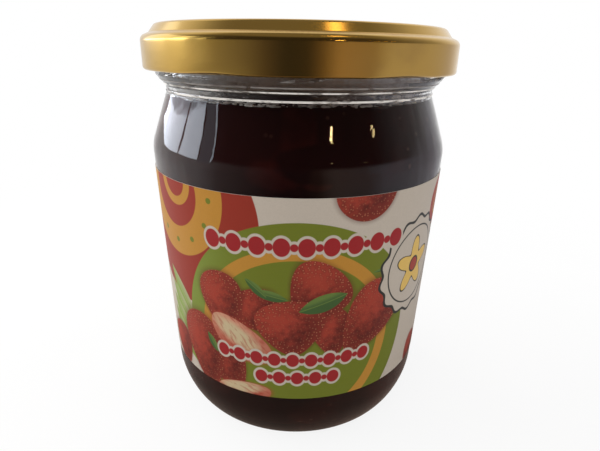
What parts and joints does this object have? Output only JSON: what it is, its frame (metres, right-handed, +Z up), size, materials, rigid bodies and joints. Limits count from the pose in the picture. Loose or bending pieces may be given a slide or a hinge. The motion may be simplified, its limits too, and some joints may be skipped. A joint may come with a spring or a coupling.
{
  "type": "jam jar",
  "caption": "Clear glass jam jar filled with dark fruit jam, closed by a gold twist-off cap and wrapped in a printed paper label.",
  "frame": {"origin": "centre of the circle the jar stands on, at the standing surface", "axes": "+Z up along the jar's axis; the label's front faces -Y"},
  "size_m": [0.0856, 0.0856, 0.111],
  "materials": {
    "glass": "clear, polished",
    "jam": "wet set jam, nearly black red",
    "cap": "gold lacquered tinplate, satin",
    "label": "smooth coated paper, printed"
  },
  "bodies": {
    "root": {"jar": "glass", "jam": "jam", "cap": "cap", "label": "label"}
  },
  "joints": []
}
